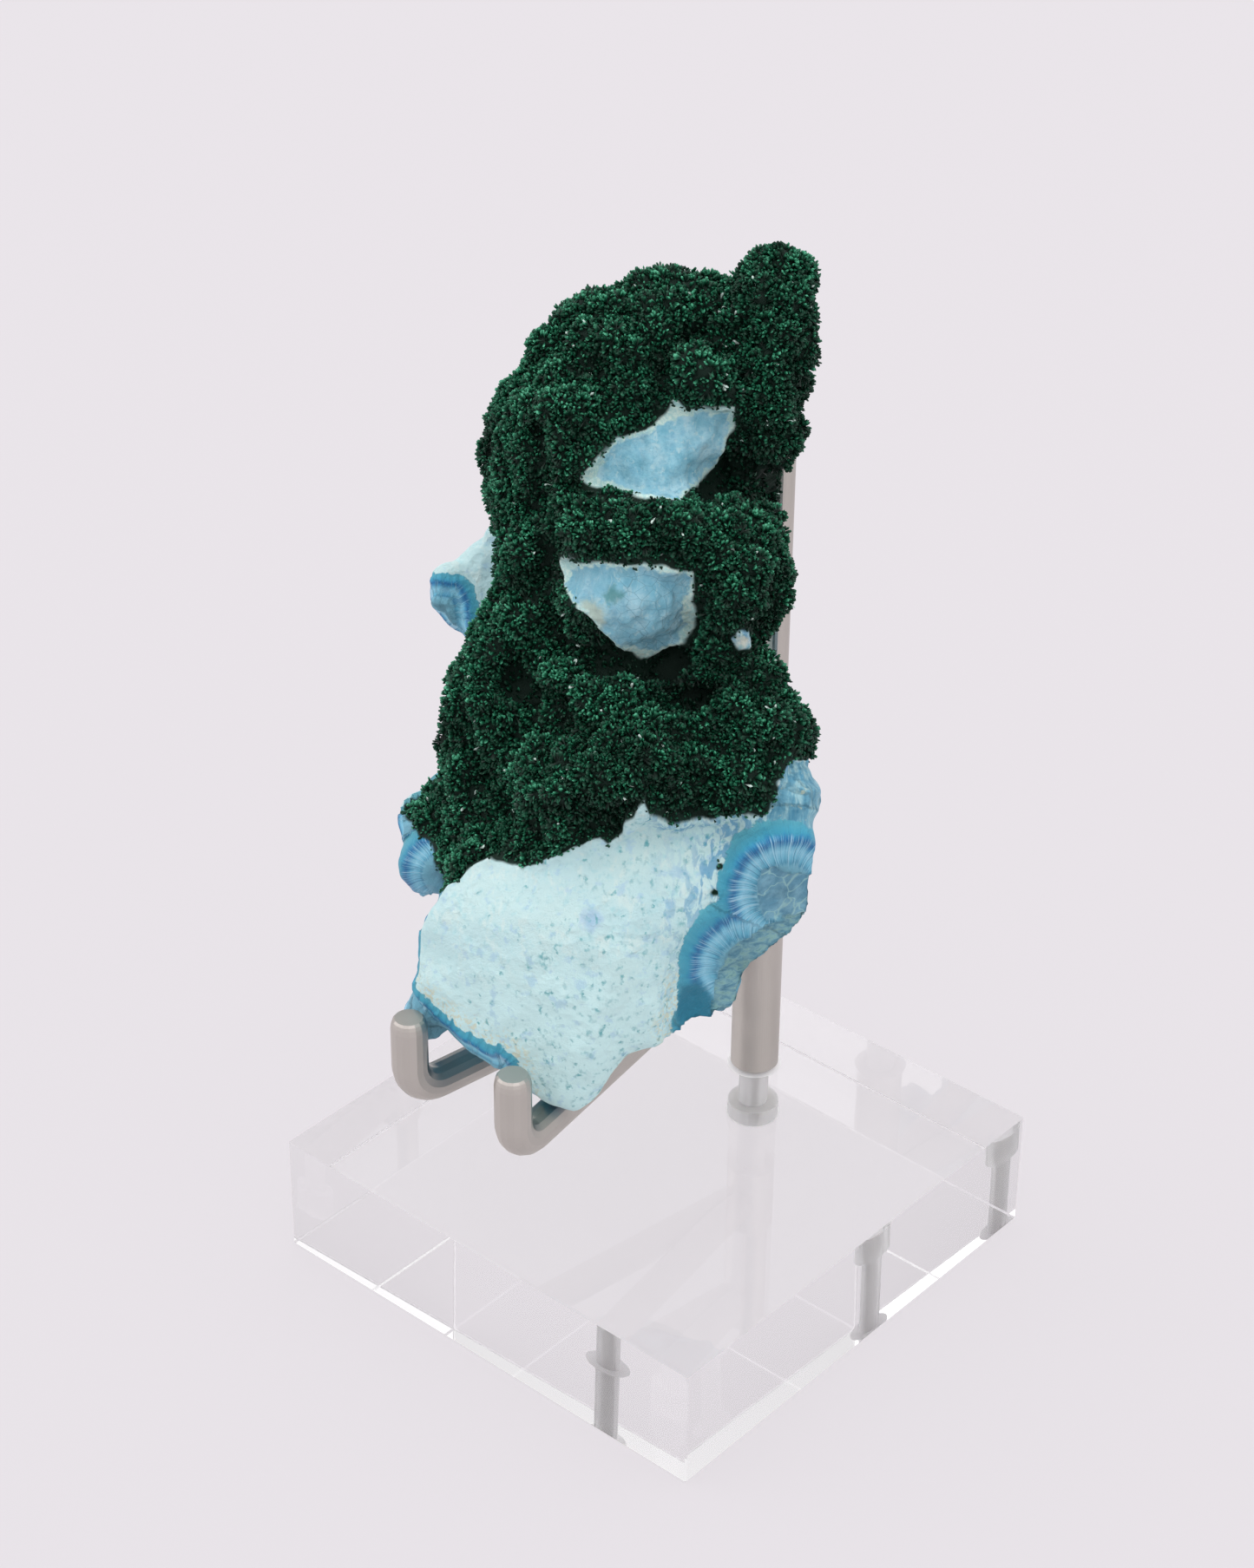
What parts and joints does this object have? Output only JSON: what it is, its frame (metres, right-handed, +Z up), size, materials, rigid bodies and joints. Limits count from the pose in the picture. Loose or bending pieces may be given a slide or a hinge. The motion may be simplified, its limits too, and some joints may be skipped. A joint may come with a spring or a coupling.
{
  "type": "mineral specimen on a display stand",
  "caption": "Rough stone of green malachite lumps over a pale blue shattuckite slab, held upright by two steel hook arms and a rod on a clear block.",
  "frame": {"origin": "middle of the clear block's underside", "axes": "+Z up; the hooks open to the front, -Y; +X to the right seen from the front"},
  "size_m": [0.083, 0.0857, 0.158],
  "materials": {
    "clear_acrylic": "polished clear acrylic with small bevelled edges",
    "stainless_steel": "satin round bar with fine pits",
    "mineral": "velvety dark green crystals, pale blue matt skin and fibrous blue breaks"
  },
  "bodies": {
    "root": {"acrylic_block": "clear_acrylic", "base_screw": "stainless_steel", "post_sleeve": "stainless_steel", "back_rod": "stainless_steel", "left_hook_arm": "stainless_steel", "right_hook_arm": "stainless_steel", "specimen": "mineral"}
  },
  "joints": []
}
